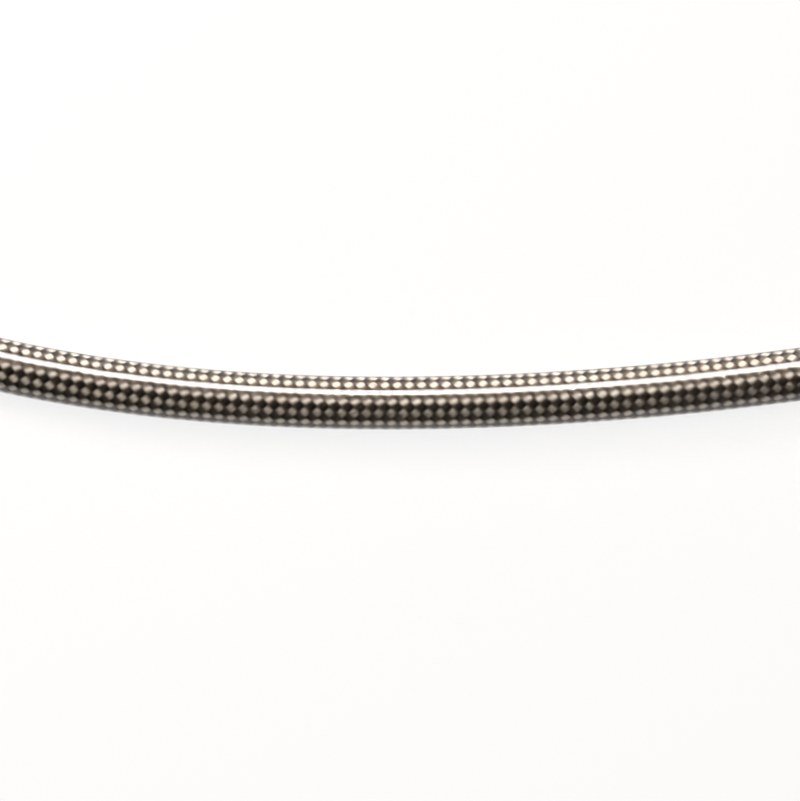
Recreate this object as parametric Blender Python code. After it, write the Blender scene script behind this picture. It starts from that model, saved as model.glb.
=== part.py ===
"""A cut length of flexible hose: smooth inner liner, woven steel wire braid, clear jacket.

The hose lies on the floor in one shallow bend, along X, with its underside at z = 0.
"""

import math

import bmesh
import bpy
import numpy as np
from mathutils import Vector

MM = 0.001

# Bore and wall thicknesses, from the inside out
BORE_DIAMETER = 3.2 * MM
LINER_WALL = 0.8 * MM
LINER_CLEARANCE = 0.3 * MM
BRAID_WALL = 0.4 * MM
JACKET_CLEARANCE = 0.3 * MM
JACKET_WALL = 0.35 * MM

# The weave: each strand passes over two strands of the other hand and then under two
STRANDS = 24
WEAVE_PITCH = 1.745 * MM
FLOAT_CROWN = 0.17 * MM
WEAVE_ANGLE = math.radians(26.5)
WEAVE_TWIST = math.radians(0.02) / MM
ROWS_PER_REPEAT = 4

# Mesh fineness
CREASE_ANGLE = math.radians(20)
LINER_SIDES = 24
JACKET_SIDES = 32
RING_SPACING = 6.0 * MM
END_STRAIGHT = 0.5 * MM
FEWEST_SPANS = 2
CURVE_SAMPLES = 2001

# The bend, as points along the centre line seen from above, in millimetres
ROUTE = (
    (-61.6, 3.35),
    (-53.9, 1.58),
    (-46.2, 0.14),
    (-38.5, -1.01),
    (-30.8, -1.89),
    (-23.1, -2.53),
    (-15.4, -2.96),
    (-7.7, -3.19),
    (0.0, -3.24),
    (7.7, -3.13),
    (15.4, -2.87),
    (23.1, -2.46),
    (30.8, -1.92),
    (38.5, -1.25),
    (46.2, -0.45),
    (53.9, 0.48),
    (61.6, 1.54),
)

# Radii that follow from the walls
BORE_RADIUS = BORE_DIAMETER / 2
LINER_RADIUS = BORE_RADIUS + LINER_WALL
BRAID_INNER_RADIUS = LINER_RADIUS + LINER_CLEARANCE
BRAID_RADIUS = BRAID_INNER_RADIUS + BRAID_WALL
JACKET_INNER_RADIUS = BRAID_RADIUS + JACKET_CLEARANCE
JACKET_RADIUS = JACKET_INNER_RADIUS + JACKET_WALL


def clear_scene():
    """Remove whatever the file opened with."""
    for obj in list(bpy.data.objects):
        bpy.data.objects.remove(obj, do_unlink=True)


def natural_spline(knots, values, at):
    """Values at the places asked for, on the smoothest cubic curve through the knots."""
    gaps = np.diff(knots)
    slopes = np.diff(values) / gaps
    count = len(knots)
    system = np.eye(count)
    right_side = np.zeros(count)
    for i in range(1, count - 1):
        system[i, i - 1 : i + 2] = gaps[i - 1], 2 * (gaps[i - 1] + gaps[i]), gaps[i]
        right_side[i] = 6 * (slopes[i] - slopes[i - 1])
    bends = np.linalg.solve(system, right_side)
    span = np.clip(np.searchsorted(knots, at) - 1, 0, count - 2)
    gap = gaps[span]
    ahead = (knots[span + 1] - at) / gap
    behind = (at - knots[span]) / gap
    chord = ahead * values[span] + behind * values[span + 1]
    bow = (ahead**3 - ahead) * bends[span] + (behind**3 - behind) * bends[span + 1]
    return chord + bow * gap**2 / 6


class Route:
    """The hose's centre line, read by distance from the left end."""

    def __init__(self, points, height):
        hand_points = np.array(points) * MM
        steps = np.hypot(*np.diff(hand_points, axis=0).T)
        knots = np.concatenate([[0.0], np.cumsum(steps)])
        fine = np.linspace(0.0, knots[-1], CURVE_SAMPLES)
        self.x = natural_spline(knots, hand_points[:, 0], fine)
        self.y = natural_spline(knots, hand_points[:, 1], fine)
        self.height = height
        run = np.hypot(np.diff(self.x), np.diff(self.y))
        self.distance = np.concatenate([[0.0], np.cumsum(run)])
        self.heading = np.unwrap(np.arctan2(np.gradient(self.y), np.gradient(self.x)))
        self.length = float(self.distance[-1])

    def centre(self, s):
        """The point of the centre line at distance s."""
        x = np.interp(s, self.distance, self.x)
        y = np.interp(s, self.distance, self.y)
        return Vector((x, y, self.height))

    def place(self, s, angle, radius):
        """A point off the centre line: angle 0 lies towards +Y, a quarter turn lies upwards."""
        heading = float(np.interp(s, self.distance, self.heading))
        sideways = Vector((-math.sin(heading), math.cos(heading), 0.0))
        outwards = sideways * math.cos(angle) + Vector((0.0, 0.0, math.sin(angle)))
        return self.centre(s) + outwards * radius

    def stations(self, spacing):
        """Distances about one spacing apart, with a short straight at each cut end."""
        inner_length = self.length - 2 * END_STRAIGHT
        spans = max(FEWEST_SPANS, round(inner_length / spacing))
        middle = np.linspace(END_STRAIGHT, self.length - END_STRAIGHT, spans + 1)
        return [0.0, *middle, self.length]


def plain_material(name, colour, metallic, roughness):
    """A Principled material with its colour, metallic value and roughness."""
    material = bpy.data.materials.new(name)
    material.use_nodes = True
    shader = material.node_tree.nodes["Principled BSDF"]
    shader.inputs["Base Color"].default_value = (*colour, 1.0)
    shader.inputs["Metallic"].default_value = metallic
    shader.inputs["Roughness"].default_value = roughness
    material.diffuse_color = (*colour, 1.0)
    return material


def clear_material(name, colour, roughness, index):
    """A see-through Principled material."""
    material = plain_material(name, colour, 0.0, roughness)
    shader = material.node_tree.nodes["Principled BSDF"]
    shader.inputs["Transmission Weight"].default_value = 1.0
    shader.inputs["IOR"].default_value = index
    return material


def finish(name, mesh, material):
    """An object of this mesh, shaded smooth between its creases."""
    mesh.shade_smooth()
    mesh.set_sharp_from_angle(angle=CREASE_ANGLE)
    obj = bpy.data.objects.new(name, mesh)
    obj.data.materials.clear()
    obj.data.materials.append(material)
    bpy.context.scene.collection.objects.link(obj)
    return obj


def tube(name, route, outer_radius, wall, sides, material):
    """A hollow tube along the route: a round curve with a wall thickened inwards."""
    curve = bpy.data.curves.new(name, "CURVE")
    curve.dimensions = "3D"
    curve.twist_mode = "Z_UP"
    curve.bevel_depth = outer_radius
    curve.bevel_resolution = (sides - 4) // 2
    stations = route.stations(RING_SPACING)
    spline = curve.splines.new("POLY")
    spline.points.add(len(stations) - 1)
    for point, s in zip(spline.points, stations):
        point.co = (*route.centre(s), 1.0)
    guide = bpy.data.objects.new(name + "_guide", curve)
    bpy.context.scene.collection.objects.link(guide)
    shell = guide.modifiers.new("wall", "SOLIDIFY")
    shell.thickness = wall
    shell.offset = -1.0
    bpy.context.view_layer.update()
    evaluated = guide.evaluated_get(bpy.context.evaluated_depsgraph_get())
    mesh = bpy.data.meshes.new_from_object(evaluated)
    mesh.name = name
    bpy.data.objects.remove(guide, do_unlink=True)
    return finish(name, mesh, material)


def crosses(row, step):
    """Whether two strands cross at this lattice point, or four floats meet there."""
    return row % 2 == step % 2


def ridge_runs_forward(row, step):
    """How a lattice square is folded.

    The crest of a float joins its two crossings. Between floats the fold joins the two
    low points, where four floats meet.
    """
    repeat_row = row % ROWS_PER_REPEAT
    if crosses(row, step):
        return repeat_row == 0
    return repeat_row != 2


def ring(mesh, route, s, angles, radii):
    """One ring of vertices round the centre line."""
    return [mesh.verts.new(route.place(s, a, r)) for a, r in zip(angles, radii)]


def skin(mesh, first, second, forward):
    """Two triangles for each lattice square between two rings, folded as forward says."""
    count = len(first)
    for row in range(count):
        a, b = first[row], first[(row + 1) % count]
        d, c = second[row], second[(row + 1) % count]
        if forward(row):
            corners = ((a, c, b), (a, d, c))
        else:
            corners = ((a, d, b), (b, d, c))
        for corner in corners:
            mesh.faces.new(corner)


def flat_fold(row):
    """The fold of a smooth wall, where it makes no difference."""
    return True


def wire_braid(route, material):
    """The woven sleeve: a two-over, two-under herringbone of crowned floats in one wall.

    The strands of one hand run forwards round the hose and those of the other hand run
    backwards, so they cross on a lattice of as many rows as there are strands. The wall's
    outside has one vertex at each lattice point, high where strands cross and low where
    four floats meet.
    """
    mesh = bmesh.new()
    steps = 2 * max(FEWEST_SPANS, round(route.length / WEAVE_PITCH))
    row_turn = 2 * math.pi / STRANDS
    middle = route.length / 2

    def angles_at(s):
        start = WEAVE_ANGLE + WEAVE_TWIST * (s - middle)
        return [start + row * row_turn for row in range(STRANDS)]

    outside = []
    for step in range(steps + 1):
        s = route.length * step / steps
        low = BRAID_RADIUS - FLOAT_CROWN
        radii = [BRAID_RADIUS if crosses(row, step) else low for row in range(STRANDS)]
        outside.append(ring(mesh, route, s, angles_at(s), radii))
    inside = []
    for s in route.stations(RING_SPACING):
        inside.append(ring(mesh, route, s, angles_at(s), [BRAID_INNER_RADIUS] * STRANDS))

    for step in range(steps):
        skin(mesh, outside[step], outside[step + 1], lambda row: ridge_runs_forward(row, step))
    for first, second in zip(inside, inside[1:]):
        skin(mesh, second, first, flat_fold)
    skin(mesh, inside[0], outside[0], flat_fold)
    skin(mesh, outside[-1], inside[-1], flat_fold)

    bmesh.ops.recalc_face_normals(mesh, faces=mesh.faces)
    data = bpy.data.meshes.new("wire_braid")
    mesh.to_mesh(data)
    mesh.free()
    return finish("wire_braid", data, material)


def main():
    """Build the three layers from the inside out."""
    clear_scene()
    route = Route(ROUTE, JACKET_RADIUS)
    liner = plain_material("white_liner", (0.82, 0.81, 0.78), 0.0, 0.4)
    steel = plain_material("steel_wire", (0.55, 0.53, 0.5), 1.0, 0.28)
    jacket = clear_material("clear_jacket", (0.97, 0.96, 0.94), 0.03, 1.5)
    tube("inner_liner", route, LINER_RADIUS, LINER_WALL, LINER_SIDES, liner)
    wire_braid(route, steel)
    tube("clear_jacket", route, JACKET_RADIUS, JACKET_WALL, JACKET_SIDES, jacket)


if __name__ == "__main__":
    main()
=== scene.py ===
"""Looks of a braided hose that lies on a pale floor.

Steel wires are woven into a sleeve round a white liner, and a clear soft jacket is
moulded over them. The jacket is a thick round lens, so the weave under it looks wider
than it is and reaches the hose's outline. One lamp gives the white stripe along the
jacket. Low lamps, most of them on the far side, and a highlight and shade painted into the
wires' colour give the bright squares on the weave.
"""

import logging
import math
from dataclasses import dataclass, field
from enum import Enum
from typing import Callable

import bpy
import numpy as np
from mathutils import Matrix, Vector


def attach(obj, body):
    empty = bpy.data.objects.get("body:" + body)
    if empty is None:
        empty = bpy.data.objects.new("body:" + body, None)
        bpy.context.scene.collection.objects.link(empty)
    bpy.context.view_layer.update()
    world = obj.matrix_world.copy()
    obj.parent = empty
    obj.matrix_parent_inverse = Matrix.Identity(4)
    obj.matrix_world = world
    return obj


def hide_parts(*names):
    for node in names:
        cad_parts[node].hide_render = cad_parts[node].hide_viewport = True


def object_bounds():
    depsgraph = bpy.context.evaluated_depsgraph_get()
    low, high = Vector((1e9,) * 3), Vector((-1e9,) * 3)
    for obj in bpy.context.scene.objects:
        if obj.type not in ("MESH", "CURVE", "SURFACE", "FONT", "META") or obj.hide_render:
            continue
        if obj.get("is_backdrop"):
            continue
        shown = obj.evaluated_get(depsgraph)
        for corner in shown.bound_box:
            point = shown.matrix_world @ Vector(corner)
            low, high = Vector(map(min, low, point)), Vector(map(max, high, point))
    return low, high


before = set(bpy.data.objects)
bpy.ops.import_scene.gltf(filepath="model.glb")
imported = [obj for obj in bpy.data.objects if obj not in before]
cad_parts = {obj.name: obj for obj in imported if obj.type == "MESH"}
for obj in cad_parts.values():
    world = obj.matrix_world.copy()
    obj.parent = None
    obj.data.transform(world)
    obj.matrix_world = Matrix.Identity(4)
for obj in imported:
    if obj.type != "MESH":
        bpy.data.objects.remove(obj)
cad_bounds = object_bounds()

MM = 0.001
UP = np.array([0.0, 0.0, 1.0])

log = logging.getLogger("hose")


class Hand(Enum):
    """Which way a strand runs round the hose as it goes from left to right."""

    FORWARD = 1
    BACKWARD = -1


class Slot(Enum):
    """Material slots of the part's record."""

    LINER = "liner"
    BRAID = "braid"
    JACKET = "jacket"


def linear_rgba(hex_colour: str) -> tuple[float, float, float, float]:
    """Turn an sRGB hex colour into the linear one that a shader takes.

    Args:
        hex_colour: Six hex digits after a hash sign.

    Returns:
        Linear red, green and blue, with an alpha of 1.
    """
    channels = [int(hex_colour[i : i + 2], 16) / 255 for i in (1, 3, 5)]
    linear = [c / 12.92 if c <= 0.04045 else ((c + 0.055) / 1.055) ** 2.4 for c in channels]
    return (*linear, 1.0)


def add_node(
    tree: bpy.types.NodeTree, kind: str, links: dict | None = None, **settings: object
) -> bpy.types.Node:
    """Add a node with its settings and the links into it.

    Args:
        tree: The node tree.
        kind: The node's type name.
        links: Input names or numbers, each with the output socket or value that it takes.
        settings: The node's own properties.

    Returns:
        The node.
    """
    node = tree.nodes.new(kind)
    for name, value in settings.items():
        setattr(node, name, value)
    for name, value in (links or {}).items():
        if isinstance(value, bpy.types.NodeSocket):
            tree.links.new(value, node.inputs[name])
        else:
            node.inputs[name].default_value = value
    return node


def new_material(name: str) -> tuple[bpy.types.Material, bpy.types.NodeTree, bpy.types.Node]:
    """Start a material.

    Args:
        name: The material's name.

    Returns:
        The material, its node tree and its Principled shader.
    """
    material = bpy.data.materials.new(name)
    material.use_nodes = True
    return material, material.node_tree, material.node_tree.nodes["Principled BSDF"]


@dataclass(frozen=True)
class DrawnSteel:
    """Stainless steel wire, drawn bright, with faint streaks along it.

    Its colour has light and shade painted into it: a painted highlight where a strand crests,
    and painted shade where it dives under another and on each wire's flanks, which stand
    against the next wire. To the eye this gives rows of crisp bright squares with brown
    painted shadows between them. The streaks make one square a little brighter than the next.

    Along a strand, the painted shine in the attribute lift sets the colour: darkest painted
    shade up to deep_lift, dimmer painted shade at dull_lift and the painted highlight from
    crest_lift on. Across a wire, darkest painted shade lies where the cosine of the angle from
    its crown is below flank_cosine, and the strand's colour where it is above crown_cosine.
    """

    wire_radius_mm: float
    light: str = "#f8f2ea"
    dark: str = "#c9c1b7"
    painted_dull_shade: str = "#5e554c"
    painted_deep_shade: str = "#241d17"
    roughness_low: float = 0.28
    roughness_high: float = 0.34
    streaks_per_mm: float = 0.9
    streak_stretch: float = 9.0
    streak_detail: float = 3.0
    tint_from: float = 0.32
    tint_to: float = 0.62
    rough_from: float = 0.3
    rough_to: float = 0.7
    deep_lift: float = -0.45
    dull_lift: float = 0.87
    crest_lift: float = 0.93
    flank_cosine: float = 0.7
    crown_cosine: float = 0.96

    def material(self) -> bpy.types.Material:
        """Make the wire's material.

        Its streaks follow the wire's own UV map in millimetres, whose second coordinate
        runs round the wire from its crown. The attribute "lift" holds the painted highlight and
        shade: about how far up the strand is, with the painted shine drawn towards the hose's
        top line.

        Returns:
            The material.
        """
        material, tree, shader = new_material("drawn_stainless_steel")
        uv = add_node(tree, "ShaderNodeUVMap", uv_map="wire")
        scale = (1.0, self.streak_stretch, 1.0)
        place = add_node(tree, "ShaderNodeMapping", {"Vector": uv.outputs["UV"], "Scale": scale})
        noise = add_node(
            tree,
            "ShaderNodeTexNoise",
            {
                "Vector": place.outputs["Vector"],
                "Scale": self.streaks_per_mm,
                "Detail": self.streak_detail,
            },
        )
        tint = add_node(tree, "ShaderNodeValToRGB", {"Fac": noise.outputs["Fac"]})
        low, high = tint.color_ramp.elements
        low.position, low.color = self.tint_from, linear_rgba(self.dark)
        high.position, high.color = self.tint_to, linear_rgba(self.light)
        rough = add_node(
            tree,
            "ShaderNodeMapRange",
            {
                "Value": noise.outputs["Fac"],
                "From Min": self.rough_from,
                "From Max": self.rough_to,
                "To Min": self.roughness_high,
                "To Max": self.roughness_low,
            },
        )
        # Painted highlight and shade along each strand, read from the attribute lift.
        painted_shine = add_node(tree, "ShaderNodeAttribute", attribute_name="painted_shine")
        crest = add_node(
            tree,
            "ShaderNodeMapRange",
            {
                "Value": painted_shine.outputs["Fac"],
                "From Min": self.dull_lift,
                "From Max": self.crest_lift,
            },
            interpolation_type="SMOOTHSTEP",
        )
        split = add_node(tree, "ShaderNodeSeparateXYZ", {"Vector": uv.outputs["UV"]})
        arc = {0: split.outputs["Y"], 1: self.wire_radius_mm}
        turn = add_node(tree, "ShaderNodeMath", arc, operation="DIVIDE")
        across = add_node(tree, "ShaderNodeMath", {0: turn.outputs[0]}, operation="COSINE")
        # Painted shade on each wire's flanks, where it stands against the next wire.
        crown = add_node(
            tree,
            "ShaderNodeMapRange",
            {
                "Value": across.outputs[0],
                "From Min": self.flank_cosine,
                "From Max": self.crown_cosine,
            },
        )
        # Painted shade where a strand dives under another.
        painted_dive_shade = add_node(
            tree,
            "ShaderNodeMapRange",
            {
                "Value": painted_shine.outputs["Fac"],
                "From Min": self.deep_lift,
                "From Max": self.dull_lift,
            },
        )
        shade = add_node(
            tree,
            "ShaderNodeMixRGB",
            {
                "Fac": painted_dive_shade.outputs["Result"],
                "Color1": linear_rgba(self.painted_deep_shade),
                "Color2": linear_rgba(self.painted_dull_shade),
            },
        )
        # The painted highlight: the streaked steel colour where the painted shine is high, painted
        # shade elsewhere.
        float_colour = add_node(
            tree,
            "ShaderNodeMixRGB",
            {
                "Fac": crest.outputs["Result"],
                "Color1": shade.outputs["Color"],
                "Color2": tint.outputs["Color"],
            },
        )
        # Painted flank shade over the whole strand.
        colour = add_node(
            tree,
            "ShaderNodeMixRGB",
            {
                "Fac": crown.outputs["Result"],
                "Color1": linear_rgba(self.painted_deep_shade),
                "Color2": float_colour.outputs["Color"],
            },
        )
        tree.links.new(colour.outputs["Color"], shader.inputs["Base Color"])
        tree.links.new(rough.outputs["Result"], shader.inputs["Roughness"])
        shader.inputs["Metallic"].default_value = 1.0
        return material


@dataclass(frozen=True)
class ClearPlastic:
    """Soft clear plastic, extruded: glossy, with a very faint print of the wires under it.

    To the eye it gives one white stripe with slightly uneven edges, pale rims and a weave
    that looks wider than it is. The pattern of the print has about bands_per_unit bands to
    a unit of its coordinates at a scale of 1.
    """

    tint: str = "#fbf7f2"
    refraction: float = 1.5
    roughness: float = 0.02
    print_height: float = 0.0012 * MM
    print_pitch_mm: float = 0.18
    print_turn: float = math.radians(45)
    print_strength: float = 0.25
    print_waver: float = 1.5
    print_detail: float = 2.0
    print_detail_scale: float = 1.5
    bands_per_unit: float = 3.2

    def material(self) -> bpy.types.Material:
        """Make the jacket's material, whose wire print follows its UV map in millimetres.

        It lets the lamps' light through to the wires unbent, so that each wire is lit
        evenly and not by specks.

        Returns:
            The material.
        """
        material, tree, shader = new_material("clear_soft_plastic")
        uv = add_node(tree, "ShaderNodeUVMap", uv_map="jacket")
        turned = add_node(
            tree,
            "ShaderNodeMapping",
            {"Vector": uv.outputs["UV"], "Rotation": (0.0, 0.0, self.print_turn)},
        )
        wires = add_node(
            tree,
            "ShaderNodeTexWave",
            {
                "Vector": turned.outputs["Vector"],
                "Scale": 1 / self.print_pitch_mm / self.bands_per_unit,
                "Distortion": self.print_waver,
                "Detail": self.print_detail,
                "Detail Scale": self.print_detail_scale,
            },
        )
        bump = add_node(
            tree,
            "ShaderNodeBump",
            {
                "Height": wires.outputs["Fac"],
                "Strength": self.print_strength,
                "Distance": self.print_height,
            },
        )
        tree.links.new(bump.outputs["Normal"], shader.inputs["Normal"])
        shader.inputs["Base Color"].default_value = linear_rgba(self.tint)
        shader.inputs["Roughness"].default_value = self.roughness
        shader.inputs["IOR"].default_value = self.refraction
        shader.inputs["Transmission Weight"].default_value = 1.0
        rays = add_node(tree, "ShaderNodeLightPath")
        clear = add_node(tree, "ShaderNodeBsdfTransparent")
        either = add_node(tree, "ShaderNodeMixShader", {"Fac": rays.outputs["Is Shadow Ray"]})
        tree.links.new(shader.outputs["BSDF"], either.inputs[1])
        tree.links.new(clear.outputs["BSDF"], either.inputs[2])
        output = tree.nodes["Material Output"]
        tree.links.new(either.outputs["Shader"], output.inputs["Surface"])
        return material


@dataclass(frozen=True)
class WhiteLiner:
    """Milky fluoropolymer tube: waxy white, faintly mottled.

    To the eye it gives a soft white ring at each cut end.
    """

    light: str = "#f1eee6"
    dark: str = "#e2ded4"
    roughness: float = 0.42
    mottle_per_mm: float = 0.8
    mottle_detail: float = 2.0
    milkiness: float = 0.2
    glow_depth: tuple[float, float, float] = (0.6 * MM, 0.55 * MM, 0.5 * MM)

    def material(self) -> bpy.types.Material:
        """Make the liner's material.

        Returns:
            The material.
        """
        material, tree, shader = new_material("white_fluoropolymer")
        place = add_node(tree, "ShaderNodeTexCoord")
        noise = add_node(
            tree,
            "ShaderNodeTexNoise",
            {
                "Vector": place.outputs["Object"],
                "Scale": self.mottle_per_mm / MM,
                "Detail": self.mottle_detail,
            },
        )
        tint = add_node(tree, "ShaderNodeValToRGB", {"Fac": noise.outputs["Fac"]})
        tint.color_ramp.elements[0].color = linear_rgba(self.dark)
        tint.color_ramp.elements[1].color = linear_rgba(self.light)
        tree.links.new(tint.outputs["Color"], shader.inputs["Base Color"])
        shader.inputs["Roughness"].default_value = self.roughness
        shader.inputs["Subsurface Weight"].default_value = self.milkiness
        shader.inputs["Subsurface Radius"].default_value = self.glow_depth
        shader.inputs["Subsurface Scale"].default_value = 1.0
        return material


@dataclass(frozen=True)
class PaperFloor:
    """Matt white backdrop paper, a little warm.

    To the eye it gives a plain white ground that keeps the hose's faint shadow.
    """

    colour: str = "#fffcf8"
    roughness: float = 0.95
    whitened: float = 0.85

    def material(self) -> bpy.types.Material:
        """Make the floor's material.

        Seen by the camera, in a gloss or through the jacket it is partly plain white, so
        that it reads as a white backdrop and still shows the hose's shadow.

        Returns:
            The material.
        """
        material, tree, shader = new_material("white_backdrop_paper")
        shader.inputs["Base Color"].default_value = linear_rgba(self.colour)
        shader.inputs["Roughness"].default_value = self.roughness
        shader.inputs["Specular IOR Level"].default_value = 0.0
        rays = add_node(tree, "ShaderNodeLightPath")
        seen = rays.outputs["Is Camera Ray"]
        for kind in ("Is Glossy Ray", "Is Transmission Ray"):
            either = {0: seen, 1: rays.outputs[kind]}
            seen = add_node(tree, "ShaderNodeMath", either, operation="MAXIMUM").outputs[0]
        share = add_node(tree, "ShaderNodeMath", {0: seen, 1: self.whitened}, operation="MULTIPLY")
        white = add_node(tree, "ShaderNodeEmission")
        mixed = add_node(tree, "ShaderNodeMixShader", {"Fac": share.outputs[0]})
        tree.links.new(shader.outputs["BSDF"], mixed.inputs[1])
        tree.links.new(white.outputs["Emission"], mixed.inputs[2])
        output = tree.nodes["Material Output"]
        tree.links.new(mixed.outputs["Shader"], output.inputs["Surface"])
        return material


@dataclass(frozen=True)
class HoseRoute:
    """The hose's centre line: listed points seen from above, in millimetres."""

    points: tuple[tuple[float, float], ...] = (
        (-61.6, 3.35),
        (-53.9, 1.58),
        (-46.2, 0.14),
        (-38.5, -1.01),
        (-30.8, -1.89),
        (-23.1, -2.53),
        (-15.4, -2.96),
        (-7.7, -3.19),
        (0.0, -3.24),
        (7.7, -3.13),
        (15.4, -2.87),
        (23.1, -2.46),
        (30.8, -1.92),
        (38.5, -1.25),
        (46.2, -0.45),
        (53.9, 0.48),
        (61.6, 1.54),
    )
    height: float = 3.75 * MM
    samples: int = 4001
    x: np.ndarray = field(init=False, repr=False)
    y: np.ndarray = field(init=False, repr=False)
    distance: np.ndarray = field(init=False, repr=False)
    heading: np.ndarray = field(init=False, repr=False)

    def __post_init__(self) -> None:
        """Run a smooth curve through the points and measure it."""
        hand_points = np.array(self.points) * MM
        steps = np.hypot(*np.diff(hand_points, axis=0).T)
        knots = np.concatenate([[0.0], np.cumsum(steps)])
        fine = np.linspace(0.0, knots[-1], self.samples)
        x = natural_spline(knots, hand_points[:, 0], fine)
        y = natural_spline(knots, hand_points[:, 1], fine)
        run = np.hypot(np.diff(x), np.diff(y))
        object.__setattr__(self, "x", x)
        object.__setattr__(self, "y", y)
        object.__setattr__(self, "distance", np.concatenate([[0.0], np.cumsum(run)]))
        object.__setattr__(self, "heading", np.arctan2(np.gradient(y), np.gradient(x)))

    @property
    def length(self) -> float:
        """The hose's length along its centre line."""
        return float(self.distance[-1])

    def centre(self, s: np.ndarray) -> np.ndarray:
        """Points of the centre line.

        Args:
            s: Distances along the hose.

        Returns:
            One point for each distance.
        """
        x = np.interp(s, self.distance, self.x)
        y = np.interp(s, self.distance, self.y)
        return np.stack([x, y, np.full_like(x, self.height)], axis=-1)

    def along(self, s: np.ndarray) -> np.ndarray:
        """Unit vectors along the hose at distances s."""
        heading = np.interp(s, self.distance, self.heading)
        return np.stack([np.cos(heading), np.sin(heading), np.zeros_like(heading)], axis=-1)

    def outward(self, s: np.ndarray, angle: np.ndarray) -> np.ndarray:
        """Unit vectors away from the centre line.

        Args:
            s: Distances along the hose.
            angle: Angles round it: 0 points towards +Y and a quarter turn points up.

        Returns:
            One unit vector for each pair.
        """
        heading = np.interp(s, self.distance, self.heading)
        sideways = np.stack([-np.sin(heading), np.cos(heading), np.zeros_like(heading)], axis=-1)
        return sideways * np.cos(angle)[..., None] + UP * np.sin(angle)[..., None]


def natural_spline(knots: np.ndarray, values: np.ndarray, at: np.ndarray) -> np.ndarray:
    """Read the smoothest cubic curve through some values.

    Args:
        knots: Where the values stand.
        values: The values.
        at: The places to read.

    Returns:
        The curve's values there.
    """
    gaps = np.diff(knots)
    slopes = np.diff(values) / gaps
    count = len(knots)
    system = np.eye(count)
    right_side = np.zeros(count)
    for i in range(1, count - 1):
        system[i, i - 1 : i + 2] = gaps[i - 1], 2 * (gaps[i - 1] + gaps[i]), gaps[i]
        right_side[i] = 6 * (slopes[i] - slopes[i - 1])
    bends = np.linalg.solve(system, right_side)
    span = np.clip(np.searchsorted(knots, at) - 1, 0, count - 2)
    gap = gaps[span]
    ahead = (knots[span + 1] - at) / gap
    behind = (at - knots[span]) / gap
    chord = ahead * values[span] + behind * values[span + 1]
    bow = (ahead**3 - ahead) * bends[span] + (behind**3 - behind) * bends[span + 1]
    return chord + bow * gap**2 / 6


def unit(vectors: np.ndarray) -> np.ndarray:
    """The vectors at length 1."""
    return vectors / np.linalg.norm(vectors, axis=-1, keepdims=True)


class QuadMesh:
    """Gathers grids of points as four-sided faces, with a UV map, and makes a mesh of them."""

    def __init__(self, name: str, uv_name: str) -> None:
        """Start an empty mesh.

        Args:
            name: The object's name.
            uv_name: The UV map's name.
        """
        self.name = name
        self.uv_name = uv_name
        self.points: list[np.ndarray] = []
        self.quads: list[np.ndarray] = []
        self.uvs: list[np.ndarray] = []
        self.painted_shines: list[np.ndarray] = []
        self.count = 0

    def add_points(self, points: np.ndarray, painted_shine: np.ndarray | None = None) -> np.ndarray:
        """Add points.

        Args:
            points: A grid of points, whose last axis is x, y, z.
            painted_shine: The painted highlight and shade of a strand at each ring of points, for its
                material.

        Returns:
            Their numbers, in the same grid.
        """
        flat = points.reshape(-1, 3)
        self.points.append(flat)
        if painted_shine is not None:
            self.painted_shines.append(np.repeat(painted_shine, points.shape[1]))
        numbers = np.arange(self.count, self.count + len(flat)).reshape(points.shape[:-1])
        self.count += len(flat)
        return numbers

    def add_faces(self, corners: np.ndarray, uv: np.ndarray) -> None:
        """Add faces.

        Args:
            corners: Point numbers, four to a face.
            uv: Their places on the UV map.
        """
        self.quads.append(corners.reshape(-1, 4))
        self.uvs.append(uv.reshape(-1, 4, 2))

    def add_band(self, rings: np.ndarray, u: np.ndarray, v: np.ndarray) -> None:
        """Join rings of points one to the next, all the way round.

        Args:
            rings: Point numbers, one ring to a row.
            u: The UV map's first coordinate of each ring.
            v: Its second one round a ring, with one more value than the ring has points.
        """
        first, second = rings[:-1], rings[1:]
        corners = np.stack(
            [first, np.roll(first, -1, axis=1), np.roll(second, -1, axis=1), second], axis=-1
        )
        sides = rings.shape[1]
        u0 = np.repeat(u[:-1, None], sides, axis=1)
        u1 = np.repeat(u[1:, None], sides, axis=1)
        v0 = np.broadcast_to(v[:-1], u0.shape)
        v1 = np.broadcast_to(v[1:], u0.shape)
        pairs = [np.stack(pair, axis=-1) for pair in ((u0, v0), (u0, v1), (u1, v1), (u1, v0))]
        self.add_faces(corners, np.stack(pairs, axis=-2))

    def make(self, crease: float) -> bpy.types.Object:
        """Make the object.

        Args:
            crease: Faces that meet at more than this angle keep a crisp edge.

        Returns:
            The object, shaded smooth.
        """
        points = np.concatenate(self.points).astype(np.float32)
        quads = np.concatenate(self.quads).astype(np.int32)
        uvs = np.concatenate(self.uvs).astype(np.float32)
        mesh = bpy.data.meshes.new(self.name)
        mesh.vertices.add(len(points))
        mesh.vertices.foreach_set("co", points.ravel())
        mesh.loops.add(quads.size)
        mesh.loops.foreach_set("vertex_index", quads.ravel())
        mesh.polygons.add(len(quads))
        mesh.polygons.foreach_set("loop_start", np.arange(0, quads.size, 4, dtype=np.int32))
        layer = mesh.uv_layers.new(name=self.uv_name)
        layer.uv.foreach_set("vector", uvs.ravel())
        # The strands' painted highlight and shade go to the material as a point attribute.
        if self.painted_shines:
            painted_shine = mesh.attributes.new("painted_shine", "FLOAT", "POINT")
            painted_shine.data.foreach_set("value", np.concatenate(self.painted_shines).astype(np.float32))
        mesh.update(calc_edges=True)
        mesh.validate()
        mesh.shade_smooth()
        mesh.set_sharp_from_angle(angle=crease)
        obj = bpy.data.objects.new(self.name, mesh)
        bpy.context.scene.collection.objects.link(obj)
        return obj


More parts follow.
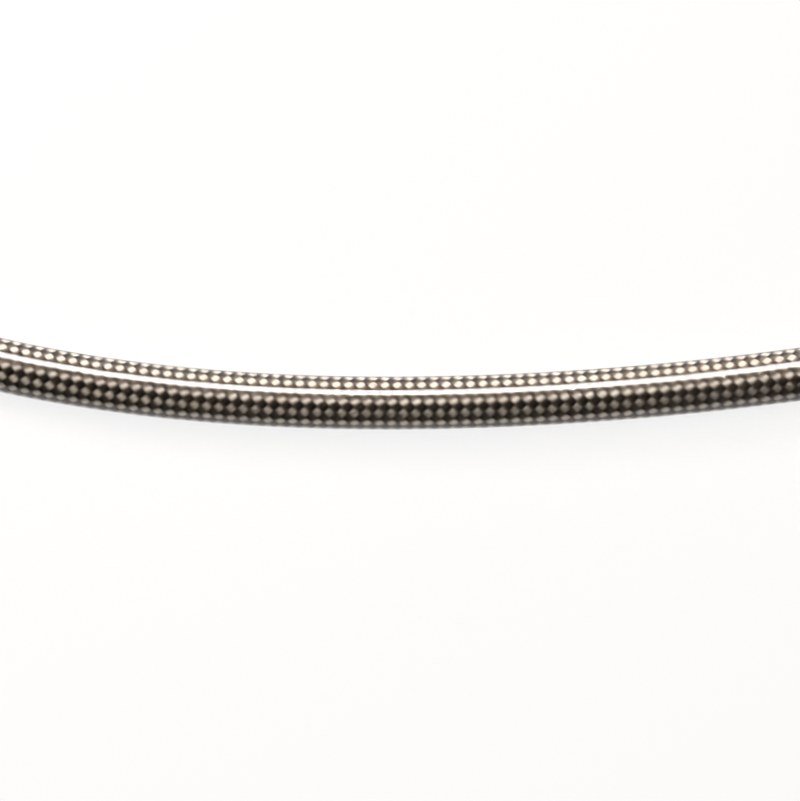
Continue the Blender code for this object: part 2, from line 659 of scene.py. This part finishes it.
@dataclass(frozen=True)
class HoseTube:
    """A hollow round tube along the hose, whose UV map has the last word of its name."""

    name: str
    outer_radius: float
    inner_radius: float
    sides: int
    ring_spacing: float
    crease: float = math.radians(50)

    def build(self, route: HoseRoute) -> bpy.types.Object:
        """Model the tube.

        Args:
            route: The hose's centre line.

        Returns:
            The tube, closed with a flat ring at each end.
        """
        draft = QuadMesh(self.name, self.name.rsplit("_", 1)[-1])
        spans = round(route.length / self.ring_spacing)
        s = np.linspace(0.0, route.length, spans + 1)
        turn = np.linspace(0.0, 2 * math.pi, self.sides + 1)
        outward = route.outward(s[:, None] + 0 * turn[:-1], turn[:-1] + 0 * s[:, None])
        centre = route.centre(s)[:, None]
        outside = draft.add_points(centre + outward * self.outer_radius)
        inside = draft.add_points(centre + outward * self.inner_radius)
        along = s / MM
        outer_arc = turn * self.outer_radius / MM
        inner_arc = turn * self.inner_radius / MM
        wall = (self.outer_radius - self.inner_radius) / MM
        draft.add_band(outside, along, outer_arc)
        draft.add_band(inside[::-1], along[::-1], inner_arc)
        ends = np.array([-wall, 0.0])
        draft.add_band(np.stack([inside[0], outside[0]]), ends, outer_arc)
        draft.add_band(np.stack([outside[-1], inside[-1]]), along[-1] - ends[::-1], outer_arc)
        return draft.make(self.crease)


@dataclass(frozen=True)
class Weave:
    """The braid's pattern: each strand passes over two of the other hand, then under two.

    Strands of one hand have whole numbers k and those of the other hand whole numbers m.
    A pair (k, m) is a place on the hose: the angle grows with k + m and the distance
    along with m - k, so a strand runs at a fixed k or m. The pattern is slid along the hose
    by slip, by slip_drift times the distance from its middle and by slip_curl times the
    square of that distance, all in metres.
    """

    strands: int = 24
    pitch: float = 1.745 * MM
    angle: float = math.radians(26.5)
    twist: float = math.radians(0.02) / MM
    repeat_rows: int = 4
    slip: float = -0.183 * MM
    slip_drift: float = -0.0062
    slip_curl: float = 0.206
    forward_crest: float = 0.5

    def steps(self, s: np.ndarray, length: float) -> np.ndarray:
        """Rows that a strand climbs up to distances s.

        The weave lies closer towards the left end, where the bend is tighter.

        Args:
            s: Distances along the hose.
            length: The hose's length.

        Returns:
            One count for each distance.
        """
        from_middle = s - length / 2
        slipped = self.slip + self.slip_drift * from_middle + self.slip_curl * from_middle**2
        return 2 * (s - slipped) / self.pitch

    def strand_angle(self, hand: Hand, lane: float, s: np.ndarray, length: float) -> np.ndarray:
        """Angles of a strand round the hose.

        Args:
            hand: The strand's hand.
            lane: The strand's number, with a part for a wire's place in it.
            s: Distances along the hose.
            length: The hose's length.

        Returns:
            One angle for each distance.
        """
        rows = 2 * lane + hand.value * self.steps(s, length)
        twisted = self.angle + self.twist * (s - length / 2)
        return twisted + rows * 2 * math.pi / self.strands

    def other_lane(self, hand: Hand, lane: float, s: np.ndarray, length: float) -> np.ndarray:
        """Numbers of the strands of the other hand that a strand meets at distances s."""
        return lane + hand.value * self.steps(s, length)

    def rise(self, hand: Hand, strand: int, other: np.ndarray, sharpness: float) -> np.ndarray:
        """Height of a strand, from -1 where it is under to 1 where it is over.

        Args:
            hand: The strand's hand.
            strand: The strand's whole number.
            other: Numbers of the strands that it meets.
            sharpness: How flat the floats are and how steeply they dive.

        Returns:
            One height for each meeting.
        """
        crest = self.forward_crest + (0 if hand is Hand.FORWARD else self.repeat_rows / 2)
        phase = 2 * math.pi * (strand + other - crest) / self.repeat_rows
        return np.tanh(sharpness * np.cos(phase)) / math.tanh(sharpness)


@dataclass(frozen=True)
class WireBraid:
    """Woven sleeve of flat strands, each of several round wires side by side.

    A real strand has about seven wires, which are too fine to show at the picture's size.
    So four thicker ones stand for them. Each has an equal part of the share "fill" of the
    strand's lane, with a narrow gap beside it.

    The bright part of a float is a highlight painted into the wires' colour. It does not
    stand at the float's middle but nearer to the hose's top line, on the side that faces the
    lamps there. The painted shine's place is shifted by shine_shift crossings to either side
    of the angle shine_turn, shine_change says how suddenly, and shine_edge paints shade on a
    strand's outer wires.

    Each wire's UV map starts at a place of its own, in millimetres, so that no two wires
    have the same streaks.
    """

    weave: Weave = Weave()
    wires: int = 4
    wire_diameter: float = 0.232 * MM
    middle_radius: float = 2.9 * MM
    rise: float = 0.12 * MM
    sharpness: float = 1.3
    fill: float = 0.93
    points_per_crossing: float = 3.0
    shine_shift: float = 0.45
    shine_turn: float = math.radians(75)
    shine_change: float = 6.0
    shine_edge: float = 0.05
    uv_per_strand: float = 40.0
    uv_per_wire: float = 0.13 * 40.0
    uv_per_hand: float = 500.0
    sides: int = 6
    cap_faces: tuple[tuple[int, ...], ...] = ((0, 1, 2, 3), (0, 3, 4, 5))
    crease: float = math.radians(75)

    def strand(self, route: HoseRoute, hand: Hand, number: int, name: str) -> bpy.types.Object:
        """Model one strand.

        Args:
            route: The hose's centre line.
            hand: Which way it runs.
            number: Its number among those of its hand.
            name: The object's name.

        Returns:
            The strand, as closed wires in one mesh.
        """
        draft = QuadMesh(name, "wire")
        crossings = 2 * route.length / self.weave.pitch
        count = round(crossings * self.points_per_crossing) + 1
        s = np.linspace(0.0, route.length, count)
        for wire in range(self.wires):
            self._wire(draft, route, s, hand, number, wire)
        return draft.make(self.crease)

    def _wire(
        self,
        draft: QuadMesh,
        route: HoseRoute,
        s: np.ndarray,
        hand: Hand,
        number: int,
        wire: int,
    ) -> None:
        """Add one wire of a strand to its mesh.

        Args:
            draft: The strand's mesh.
            route: The hose's centre line.
            s: Distances along the hose of the wire's rings.
            hand: Which way the strand runs.
            number: The strand's number among those of its hand.
            wire: The wire's number in the strand.
        """
        aside = (wire - (self.wires - 1) / 2) * self.fill / self.wires
        lane = number + aside
        angle = self.weave.strand_angle(hand, lane, s, route.length)
        meets = self.weave.other_lane(hand, lane, s, route.length)
        height = self.weave.rise(hand, number, meets, self.sharpness)
        radius = self.middle_radius + self.rise * height
        outward = route.outward(s, angle)
        line = route.centre(s) + outward * radius[:, None]
        ahead = unit(np.gradient(line, axis=0))
        side = unit(np.cross(ahead, outward))
        up = np.cross(side, ahead)
        turn = np.linspace(0.0, 2 * math.pi, self.sides + 1)
        upwards, sideways = np.cos(turn[:-1])[:, None], np.sin(turn[:-1])[:, None]
        spoke = upwards * up[:, None] + sideways * side[:, None]
        rings = line[:, None] + spoke * self.wire_diameter / 2
        for end in (0, -1):
            rings[end] = self._cut_square(rings[end], line[end], ahead[end], route.along(s)[end])
        # Painted highlight and shade for the material: each float's shine moved towards the lamps'
        # side, with painted shade on the strand's outer wires.
        upward = np.tanh(self.shine_change * np.sin(angle - self.shine_turn))
        shine = self.weave.rise(hand, number, meets + self.shine_shift * upward, self.sharpness)
        numbers = draft.add_points(rings, shine - self.shine_edge * (2 * aside) ** 2)
        start = self.uv_per_strand * number + self.uv_per_wire * wire
        if hand is Hand.BACKWARD:
            start += self.uv_per_hand
        # A wire lies at about 45 degrees to the hose, so it is longer by the root of two
        u = s / MM * math.sqrt(2) + start
        v = turn * self.wire_diameter / 2 / MM
        draft.add_band(numbers, u, v)
        cap_uv = np.zeros((1, 4, 2))
        cap_uv[..., 0] = start
        for face in self.cap_faces:
            draft.add_faces(numbers[0][list(face)][::-1], cap_uv)
            draft.add_faces(numbers[-1][list(face)], cap_uv)

    @staticmethod
    def _cut_square(
        ring: np.ndarray, middle: np.ndarray, ahead: np.ndarray, along: np.ndarray
    ) -> np.ndarray:
        """Slide a ring's points along the wire onto the hose's square cut.

        Args:
            ring: The ring's points.
            middle: The ring's centre.
            ahead: The wire's direction.
            along: The hose's direction, square to the cut.

        Returns:
            The points on the cut.
        """
        short = (ring - middle) @ along / (ahead @ along)
        return ring - short[:, None] * ahead

    def build(self, route: HoseRoute) -> list[bpy.types.Object]:
        """Model every strand.

        Args:
            route: The hose's centre line.

        Returns:
            The strands of both hands.
        """
        made = []
        for hand in Hand:
            for number in range(self.weave.strands // 2):
                name = f"strand_{hand.name.lower()}_{number + 1:02d}"
                made.append(self.strand(route, hand, number, name))
        return made


@dataclass(frozen=True)
class Hose:
    """The whole hose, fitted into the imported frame.

    The jacket reaches inwards past the wires, because it is moulded round them. It is the
    finer of the two tubes, so that its stripe stays smooth.
    """

    route: HoseRoute = HoseRoute()
    braid: WireBraid = WireBraid()
    diameter: float = 7.5 * MM
    jacket_inside: float = 2.62 * MM
    jacket_sides: int = 128
    jacket_rings: float = 0.8 * MM
    liner_radius: float = 2.4 * MM
    bore_radius: float = 1.6 * MM
    liner_sides: int = 64
    liner_rings: float = 1.5 * MM
    path_points: int = 40

    def build(self) -> None:
        """Model, dress and attach the liner, the strands and the jacket."""
        liner = HoseTube(
            "fluid_liner", self.liner_radius, self.bore_radius, self.liner_sides, self.liner_rings
        ).build(self.route)
        self._dress(liner, WhiteLiner().material(), Slot.LINER, "inner_liner")
        steel = DrawnSteel(self.braid.wire_diameter / 2 / MM).material()
        for strand in self.braid.build(self.route):
            self._dress(strand, steel, Slot.BRAID, "wire_braid")
        jacket = HoseTube(
            "outer_jacket", self.diameter / 2, self.jacket_inside, self.jacket_sides, self.jacket_rings
        ).build(self.route)
        self._dress(jacket, ClearPlastic().material(), Slot.JACKET, "clear_jacket")
        path = self.route.centre(np.linspace(0.0, self.route.length, self.path_points))

    @staticmethod
    def _dress(
        piece: bpy.types.Object, material: bpy.types.Material, slot: Slot, node: str
    ) -> None:
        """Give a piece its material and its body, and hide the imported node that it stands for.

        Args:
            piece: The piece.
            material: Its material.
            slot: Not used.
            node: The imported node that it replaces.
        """
        piece.data.materials.append(material)
        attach(piece, "root")
        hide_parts(node)
        log.info("%s: %d faces", piece.name, len(piece.data.polygons))


class Reach(Enum):
    """What a lamp lights: everything, or only what is seen as a gleam on the hose."""

    EVERYTHING = "everything"
    GLOSS = "metal and gloss only"


@dataclass(frozen=True)
class Lamp:
    """A flat lamp that faces the hose.

    Its place is a tilt from straight up and a turn from +Y towards +X, both in degrees,
    and its distance, width and length are in metres. A mirrored lamp also shows as a
    picture of itself in the jacket.
    """

    name: str
    tilt: float
    turn: float
    distance: float
    width: float
    length: float
    radiance: float
    colour: str = "#fffaf4"
    mirrored: bool = False
    reach: Reach = Reach.EVERYTHING

    def place(self, target: Vector) -> None:
        """Set the lamp up.

        Args:
            target: The point that it faces.
        """
        light = bpy.data.lights.new(self.name, "AREA")
        light.shape = "RECTANGLE"
        light.size = self.length
        light.size_y = self.width
        light.energy = self.radiance * math.pi * self.length * self.width
        light.color = linear_rgba(self.colour)[:3]
        light.cycles.use_multiple_importance_sampling = self.mirrored
        lamp = bpy.data.objects.new(self.name, light)
        lamp.visible_transmission = False
        lamp.visible_diffuse = self.reach is Reach.EVERYTHING
        bpy.context.scene.collection.objects.link(lamp)
        tilt, turn = math.radians(self.tilt), math.radians(self.turn)
        level = math.sin(tilt)
        way = Vector((math.sin(turn) * level, math.cos(turn) * level, math.cos(tilt)))
        lamp.location = target + way * self.distance
        lamp.rotation_euler = (-way).to_track_quat("-Z", "Y").to_euler()


@dataclass(frozen=True)
class Studio:
    """Pale floor, soft surroundings, lamps and the camera that looks down on the hose.

    The hose is hose_pixels wide in the picture, and its centre line crosses the picture's
    middle column at middle_row. The room's light is a colour at the horizon and another
    one from the height overhead_from up.
    """

    image_width: int = 800
    image_height: int = 801
    hose_pixels: float = 53.0
    middle_row: float = 403.04
    camera_distance: float = 0.6
    sensor: float = 36.0
    nearest_seen: float = 0.01
    floor_side: float = 6.0
    horizon: tuple[float, ...] = (0.28, 0.27, 0.26, 1.0)
    overhead: tuple[float, ...] = (0.09, 0.088, 0.085, 1.0)
    overhead_from: float = 0.3
    lamps: tuple[Lamp, ...] = (
        Lamp(
            "strip_lamp", tilt=47.3, turn=2.0, distance=0.5, width=0.2, length=0.12,
            radiance=20.0, colour="#fbfaff", mirrored=True, reach=Reach.GLOSS,
        ),
        Lamp(
            "top_softbox", tilt=25.0, turn=5.0, distance=0.6, width=0.2, length=0.2,
            radiance=13.0,
        ),
        Lamp(
            "left_softbox", tilt=57.0, turn=-48.0, distance=0.6, width=0.16, length=0.16,
            radiance=40.0,
        ),
        Lamp(
            "left_glint", tilt=70.0, turn=-26.0, distance=0.6, width=0.16, length=0.16,
            radiance=40.0, reach=Reach.GLOSS,
        ),
        Lamp(
            "right_glint", tilt=70.0, turn=24.0, distance=0.6, width=0.16, length=0.16,
            radiance=145.0, reach=Reach.GLOSS,
        ),
        Lamp(
            "back_glint", tilt=83.0, turn=0.0, distance=0.6, width=0.12, length=0.4,
            radiance=14.0, reach=Reach.GLOSS,
        ),
        Lamp(
            "front_glint", tilt=80.0, turn=180.0, distance=0.6, width=0.12, length=0.4,
            radiance=5.0, colour="#fff2e4", reach=Reach.GLOSS,
        ),
    )

    def build(self, hose: Hose) -> None:
        """Set up the stage.

        Args:
            hose: The hose that it shows.
        """
        self._floor()
        self._world()
        middle = Vector(hose.route.centre(np.array([hose.route.length / 2]))[0])
        for lamp in self.lamps:
            lamp.place(middle)
        self._camera(hose)

    def _floor(self) -> None:
        """Lay the floor."""
        bpy.ops.object.select_all(action="DESELECT")
        bpy.ops.mesh.primitive_plane_add(size=self.floor_side, location=(0.0, 0.0, 0.0))
        floor = bpy.context.object
        floor.name = "floor"
        floor.data.materials.append(PaperFloor().material())
        floor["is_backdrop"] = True

    def _world(self) -> None:
        """Surround the stage with a room that is pale at the horizon and dim overhead."""
        world = bpy.data.worlds.new("studio_room")
        bpy.context.scene.world = world
        world.use_nodes = True
        tree = world.node_tree
        background = tree.nodes["Background"]
        place = add_node(tree, "ShaderNodeTexCoord")
        split = add_node(tree, "ShaderNodeSeparateXYZ", {"Vector": place.outputs["Generated"]})
        ramp = add_node(tree, "ShaderNodeValToRGB", {"Fac": split.outputs["Z"]})
        low, high = ramp.color_ramp.elements
        low.position, low.color = 0.0, self.horizon
        high.position, high.color = self.overhead_from, self.overhead
        tree.links.new(ramp.outputs["Color"], background.inputs["Color"])

    def _camera(self, hose: Hose) -> None:
        """Look straight down on the hose, framed as in the picture.

        Args:
            hose: The hose.
        """
        scale = hose.diameter / self.hose_pixels
        frame_width = self.image_width * scale
        data = bpy.data.cameras.new("camera")
        data.sensor_fit = "HORIZONTAL"
        data.sensor_width = self.sensor
        data.lens = self.sensor * self.camera_distance / frame_width
        data.clip_start = self.nearest_seen
        camera = bpy.data.objects.new("camera", data)
        bpy.context.scene.collection.objects.link(camera)
        route = hose.route
        hose_y = float(np.interp(0.0, route.x, route.y))
        image_y = hose_y + (self.middle_row - self.image_height / 2) * scale
        camera.location = (0.0, image_y, route.height + self.camera_distance)
        bpy.context.scene.camera = camera


def write_sizes(lowest_highest: Callable) -> None:
    """Go through the CAD model's box and the dressed model's box, without writing either.

    Args:
        lowest_highest: Gives the dressed model's lowest and highest corners.
    """
    for name, box in (("cad", cad_bounds), ("visual", lowest_highest())):
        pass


def main() -> None:
    """Build the hose and its studio."""
    logging.basicConfig(level=logging.INFO, format="%(name)s: %(message)s")
    bpy.context.scene.view_settings.view_transform = "Standard"
    hose = Hose()
    Studio().build(hose)
    hose.build()
    write_sizes(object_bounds)


if __name__ == "__main__":
    main()
